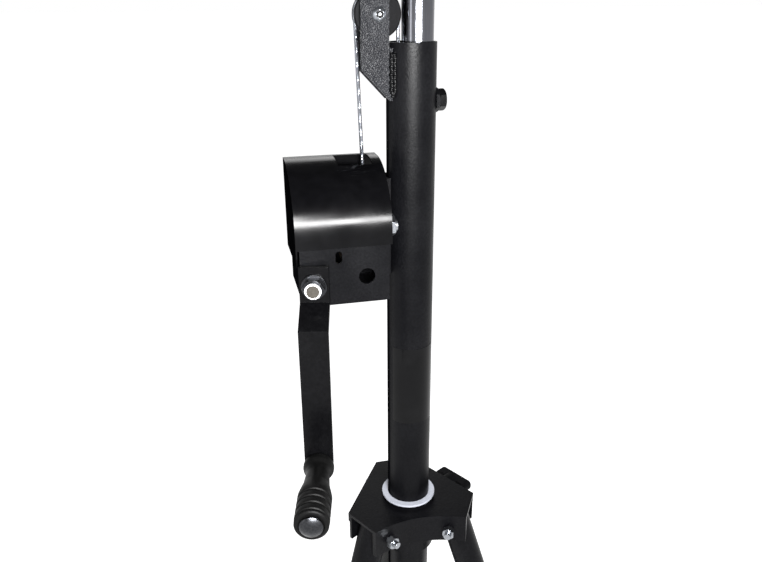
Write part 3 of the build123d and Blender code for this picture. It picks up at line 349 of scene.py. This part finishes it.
def dress_frame():
    """Gives every CAD node the finish of its slot, or its own look where it has one."""
    for sub in frame["record"]["subparts"]:
        node = frame["nodes"][sub["node"]]
        look = NODE_LOOKS.get(sub["node"], sub["material_slot"])
        node.data.materials.clear()
        node.data.materials.append(finishes[look])


dress_frame()

# ---- Soft edges on the CAD nodes ----------------------------------------------------------

WELD_DISTANCE = 0.01 * MM
FLAT_ANGLE = radians(0.6)
EDGE_ANGLE = radians(32)
EDGE_SEGMENTS = 3

# Width of the rounded edge, in millimetres.
SOFT_EDGES = {
    "winch_hood": 0.9,
    "winch_frame": 0.9,
    "crank_arm": 1.8,
    "pulley_bracket_plates": 0.7,
    "pulley_wheel": 0.4,
    "winch_mast_mounts": 0.8,
    "mast_lock_bolt": 0.5,
    "lock_bolt_boss": 0.5,
    "hub_shell": 0.9,
    "hub_bush": 0.5,
    "clamp_knob": 0.8,
    "lower_collar": 0.8,
    "strut_1": 0.7,
    "strut_2": 0.7,
    "strut_3": 0.7,
    "leg_1_foot": 1.5,
    "leg_2_foot": 1.5,
    "leg_3_foot": 1.5,
    "mast_foot_pad": 1.0,
    "mast_outer_tube": 0.4,
    "mast_inner_tube": 0.4,
    "crank_nut": 0.4,
    "crank_washer": 0.3,
    "drum_shaft_nut": 0.4,
    "drum_shaft_washer": 0.3,
    "pulley_axle_nut": 0.3,
    "leg_pivot_bolts": 0.3,
    "leg_pivot_nuts": 0.3,
    "winch_mount_nuts": 0.3,
    "rope_drum": 0.4,
    "drum_gear": 0.15,
}


def soften(node, width):
    """Rounds a CAD node's sharp edges with modifiers; its own mesh stays as it is."""
    piece = frame["nodes"][node]
    weld = piece.modifiers.new("weld", "WELD")
    weld.merge_threshold = WELD_DISTANCE
    flat = piece.modifiers.new("flat_faces", "DECIMATE")
    flat.decimate_type = "DISSOLVE"
    flat.angle_limit = FLAT_ANGLE
    bevel = piece.modifiers.new("soft_edges", "BEVEL")
    bevel.width = width * MM
    bevel.segments = EDGE_SEGMENTS
    bevel.limit_method = "ANGLE"
    bevel.angle_limit = EDGE_ANGLE
    normals = piece.modifiers.new("normals", "WEIGHTED_NORMAL")
    normals.keep_sharp = True


for soft_node, edge_width in SOFT_EDGES.items():
    soften(soft_node, edge_width)

# ---- Mesh helpers -------------------------------------------------------------------------

SMOOTH_ANGLE = radians(50)


def add_piece(name, vertices, faces, body, slot, nodes=(), look=None):
    """A smooth mesh piece that rides on a body and stands for the CAD nodes named."""
    mesh = bpy.data.meshes.new(name)
    mesh.from_pydata(vertices, [], faces)
    mesh.validate()
    mesh.materials.append(finishes[look or slot])
    for face in mesh.polygons:
        face.use_smooth = True
    mesh.set_sharp_from_angle(angle=SMOOTH_ANGLE)
    piece = bpy.data.objects.new(name, mesh)
    bpy.context.scene.collection.objects.link(piece)
    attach(piece, body)
    for node in nodes:
        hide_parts(node)
    return piece


def carried_frames(points):
    """A point and two cross directions at each point of a line, with no twist from one to the next."""
    frames = []
    side = None
    for k, point in enumerate(points):
        along = (points[min(k + 1, len(points) - 1)] - points[max(k - 1, 0)]).normalized()
        if side is None:
            side = along.orthogonal()
        side = (side - along * side.dot(along)).normalized()
        frames.append((point, side, along.cross(side)))
    return frames


def tube_mesh(centres, radii, sides):
    """Vertices and faces of a closed tube through the centres."""
    vertices, faces = [], []
    for (point, side, up), radius in zip(carried_frames(centres), radii):
        for k in range(sides):
            angle = 2 * pi * k / sides
            vertices.append(point + (side * cos(angle) + up * sin(angle)) * radius)
    for ring in range(len(centres) - 1):
        for k in range(sides):
            a = ring * sides + k
            b = ring * sides + (k + 1) % sides
            faces.append((a, b, b + sides, a + sides))
    last = (len(centres) - 1) * sides
    faces.append(tuple(range(sides - 1, -1, -1)))
    faces.append(tuple(last + k for k in range(sides)))
    return vertices, faces


def joined(meshes):
    vertices, faces = [], []
    for part_vertices, part_faces in meshes:
        start = len(vertices)
        vertices += part_vertices
        faces += [tuple(start + k for k in face) for face in part_faces]
    return vertices, faces


def rounded_profile(corners, radius, steps=4):
    """Outline of (radius, height) points with each inner corner turned into a short curve."""
    points = [Vector(corners[0])]
    for before, corner, after in zip(corners, corners[1:], corners[2:]):
        before, corner, after = Vector(before), Vector(corner), Vector(after)
        cut = min(radius, (before - corner).length / 2, (after - corner).length / 2)
        first = corner + (before - corner).normalized() * cut
        last = corner + (after - corner).normalized() * cut
        for k in range(steps + 1):
            t = k / steps
            points.append(first * (1 - t) ** 2 + corner * 2 * t * (1 - t) + last * t**2)
    points.append(Vector(corners[-1]))
    return points


def lathe(outline, origin, direction, sides):
    """Vertices and faces of a closed outline, in millimetres, turned about a line."""
    profile = [Vector(point) * MM for point in outline]
    along = Vector(direction).normalized()
    side = along.orthogonal().normalized()
    up = along.cross(side)
    vertices, faces = [], []
    for k in range(sides):
        angle = 2 * pi * k / sides
        out = side * cos(angle) + up * sin(angle)
        vertices += [Vector(origin) + out * radius + along * height for radius, height in profile]
    count = len(profile)
    for k in range(sides):
        near, far = k * count, ((k + 1) % sides) * count
        for p in range(count):
            q = (p + 1) % count
            faces.append((near + p, far + p, far + q, near + q))
    return vertices, faces


# ---- Wire rope ----------------------------------------------------------------------------

ROPE_R = 2.0 * MM
ROPE_STRANDS = 5
ROPE_LAY = 13.0 * MM
STRAND_R = 0.30 * ROPE_R
STRAND_SIDES = 7
CORE_R = 0.45 * ROPE_R
CORE_SIDES = 6
LAY_STEP = 1.25 * MM
INNER_STEP = 2.5 * MM
DRUM_ROPE_R = 22.3 * MM
LIVE_WRAP_X = -52.3 * MM
LIVE_WRAP_ANGLE = radians(250)

drum_centre = node_middle("rope_drum")
wheel_centre = node_middle("pulley_wheel")
inner_low, inner_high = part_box("rope_inner_span")
rope_right = Vector(((inner_low[0] + inner_high[0]) / 2, 0, inner_high[2]))
PULLEY_ROPE_R = rope_right.x - wheel_centre.x


def arc_point(centre, radius, first, second, angle):
    return centre + (first * cos(angle) + second * sin(angle)) * radius


def strand_rope(name, points, step, body, node):
    """Strands laid round a thin core along a line of points that are one step apart."""
    frames = carried_frames(points)
    strands = [tube_mesh(points, [CORE_R] * len(points), CORE_SIDES)]
    for strand in range(ROPE_STRANDS):
        centres = []
        for k, (point, side, up) in enumerate(frames):
            angle = 2 * pi * (strand / ROPE_STRANDS + k * step / ROPE_LAY)
            centres.append(arc_point(point, ROPE_R - STRAND_R, side, up, angle))
        strands.append(tube_mesh(centres, [STRAND_R] * len(centres), STRAND_SIDES))
    vertices, faces = joined(strands)
    return add_piece(name, vertices, faces, body, "rope_wire", [node])


def lift_points(step):
    """Line of the lifting rope: over the pulley, down to the drum and round it."""
    drop = wheel_centre.z - drum_centre.z
    forward = -drum_centre.y
    sideways = wheel_centre.x - LIVE_WRAP_X
    slant = atan(drop / sideways) - acos(PULLEY_ROPE_R / hypot(sideways, drop))
    lean = atan(forward / drop) - asin(DRUM_ROPE_R / hypot(forward, drop))
    over = pi + slant
    points = []
    count = round(over * PULLEY_ROPE_R / step)
    for k in range(count):
        points.append(arc_point(wheel_centre, PULLEY_ROPE_R, X, Z, over * k / count))
    start = arc_point(wheel_centre, PULLEY_ROPE_R, X, Z, over)
    wrap_centre = Vector((LIVE_WRAP_X, drum_centre.y, drum_centre.z))
    end = arc_point(wrap_centre, DRUM_ROPE_R, Y, -Z, -lean)
    count = round((end - start).length / step)
    for k in range(count):
        points.append(start.lerp(end, k / count))
    count = round(LIVE_WRAP_ANGLE * DRUM_ROPE_R / step)
    for k in range(count + 1):
        points.append(arc_point(wrap_centre, DRUM_ROPE_R, Y, -Z, LIVE_WRAP_ANGLE * k / count - lean))
    return points


def dead_wrap_points(step):
    low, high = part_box("rope_dead_wrap")
    centre = node_middle("rope_dead_wrap")
    radius = (high[2] - low[2]) / 2 - ROPE_R
    count = round(2 * pi * radius / step)
    return [arc_point(centre, radius, Y, Z, 2 * pi * k / count) for k in range(count + 1)]


def make_inner_rope():
    """The rope inside the mast, built at its rest length; on the stand it shortens as the inner mast
    rises.
    """
    length = inner_high[2] - inner_low[2]
    count = round(length / INNER_STEP)
    points = [rope_right - Z * (length * k / count) for k in range(count + 1)]
    rope = strand_rope("rope_inside_mast", points, INNER_STEP, "mast", "rope_inner_span")
    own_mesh(rope)


strand_rope("rope_over_pulley", lift_points(LAY_STEP), LAY_STEP, "mast", "rope_lift_span")
strand_rope("rope_wrap_on_drum", dead_wrap_points(LAY_STEP), LAY_STEP, "drum", "rope_dead_wrap")
make_inner_rope()

# ---- Weld beads ---------------------------------------------------------------------------

BEAD_R = 4.0 * MM
RIDGE_R = 1.75 * MM
RIDGE_OFFSET = 1.55 * MM
RIDGE_SIDES = 14
RIPPLE = 0.5 * MM
WANDER = 0.35 * MM
WANDER_RATE = 900  # radians per metre of height
WELD_PITCH = 3.6 * MM
WELD_STEPS = 72
WELD_INSET = 2.4 * MM
HOOK_HEIGHT = 7 * MM


def weld_ridge(side, offset):
    """One rippled ridge of the weld between a bracket plate and the mast, hooked at its lower end."""
    low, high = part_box("bracket_weld_beads")
    x = (low[0] + high[0]) / 2 + offset
    y = side * (high[1] - BEAD_R)
    bottom, top = low[2] + WELD_INSET, high[2] - WELD_INSET
    phase = offset / MM
    centres, radii = [], []
    for k in range(WELD_STEPS + 1):
        z = bottom + (top - bottom) * k / WELD_STEPS
        ripple = abs(sin(pi * (z - bottom) / WELD_PITCH + phase))
        hook = max(0.0, 1 - (z - bottom) / HOOK_HEIGHT) ** 2
        wander = WANDER * sin(z * WANDER_RATE + phase) - 2 * offset * hook
        centres.append(Vector((x + wander, y, z)))
        taper = min(1.0, 0.6 + 6 * min(k, WELD_STEPS - k) / WELD_STEPS)
        radii.append((RIDGE_R + RIPPLE * ripple) * taper)
    return tube_mesh(centres, radii, RIDGE_SIDES)


def make_welds():
    ridges = [weld_ridge(side, offset) for side in (-1, 1) for offset in (-RIDGE_OFFSET, RIDGE_OFFSET)]
    vertices, faces = joined(ridges)
    add_piece("bracket_welds", vertices, faces, "mast", "crank_black", ["bracket_weld_beads"])


make_welds()

# ---- Crank nut ring with painted highlight, painted shade in the axle socket --------------

shaft_axis = -Vector(joints["crank_turn"]["axis"])
shaft_middle = Vector(joints["crank_turn"]["pos_m"])
RING_SIDES = 48
SOCKET_SIDES = 36
SOCKET_DEPTH = 1.6 * MM  # of the painted-shade disc's back, behind the top of the axle's head


def front_reach(node):
    """Distance along the shaft from its joint to the front face of a round or hexagonal node."""
    low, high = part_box(node)
    half_width = (high[2] - low[2]) / 2
    half_depth = (high[1] - low[1]) / 2 - half_width * abs(shaft_axis.x)
    return (node_middle(node) - shaft_middle).dot(shaft_axis) + half_depth / abs(shaft_axis.y)


def make_nut_ring():
    outline = [(5.2, -0.6), (5.2, 0.5), (5.6, 0.9), (7.2, 0.9), (7.7, 0.4), (7.7, -0.6)]
    place = shaft_middle + shaft_axis * front_reach("crank_nut")
    vertices, faces = lathe(outline, place, shaft_axis, RING_SIDES)
    # The ring is zinc with a painted highlight, drawn near white.
    add_piece("crank_nut_highlight_ring", vertices, faces, "crank", "zinc", look="zinc_painted_highlight")


def make_axle_socket_shade():
    # A black disc at the bottom of the axle head's socket: painted shade, not a part.
    low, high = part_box("pulley_axle_bolt")
    outline = [(1.2, 0.0), (1.2, 0.3), (3.7, 0.3), (3.7, 0.0)]
    place = Vector((wheel_centre.x, low[1] + SOCKET_DEPTH, wheel_centre.z))
    vertices, faces = lathe(outline, place, -Y, SOCKET_SIDES)
    add_piece("axle_socket_painted_shade", vertices, faces, "mast", "black_rubber")


make_nut_ring()
make_axle_socket_shade()

# ---- Crank grip ---------------------------------------------------------------------------

grip_axis = -Vector(joints["grip_spin"]["axis"])
grip_start = Vector(joints["grip_spin"]["pos_m"])
GRIP_LENGTH = 88.0
GRIP_BORE_R = 4.3
GRIP_RIBS = 4
RIB_START = 50.0
RIB_PITCH = 9.0
RIB_R = 16.0
RIB_LENGTH = 5.4
GROOVE_R = 14.6
GRIP_SOFTNESS = 1.6
GRIP_SIDES = 96


def make_grip():
    """Waisted grip with ribs towards its outer end, turned about its pin."""
    outline = [(GRIP_BORE_R, 0), (13.0, 0), (15.0, 2.0), (15.0, 7.0)]
    outline += [(12.2, 12.0), (11.3, 18.0), (12.6, 34.0), (14.8, 44.0)]
    for rib in range(GRIP_RIBS):
        z = RIB_START + RIB_PITCH * rib
        outline += [(RIB_R, z), (RIB_R, z + RIB_LENGTH), (GROOVE_R, z + 6.2), (GROOVE_R, z + 8.2)]
    outline += [(RIB_R, 86.2), (14.4, GRIP_LENGTH), (11.6, GRIP_LENGTH), (11.6, 86.5), (GRIP_BORE_R, 86.5)]
    vertices, faces = lathe(rounded_profile(outline, GRIP_SOFTNESS), grip_start, grip_axis, GRIP_SIDES)
    add_piece("crank_hand_grip", vertices, faces, "grip", "black_rubber", ["crank_grip"])


make_grip()
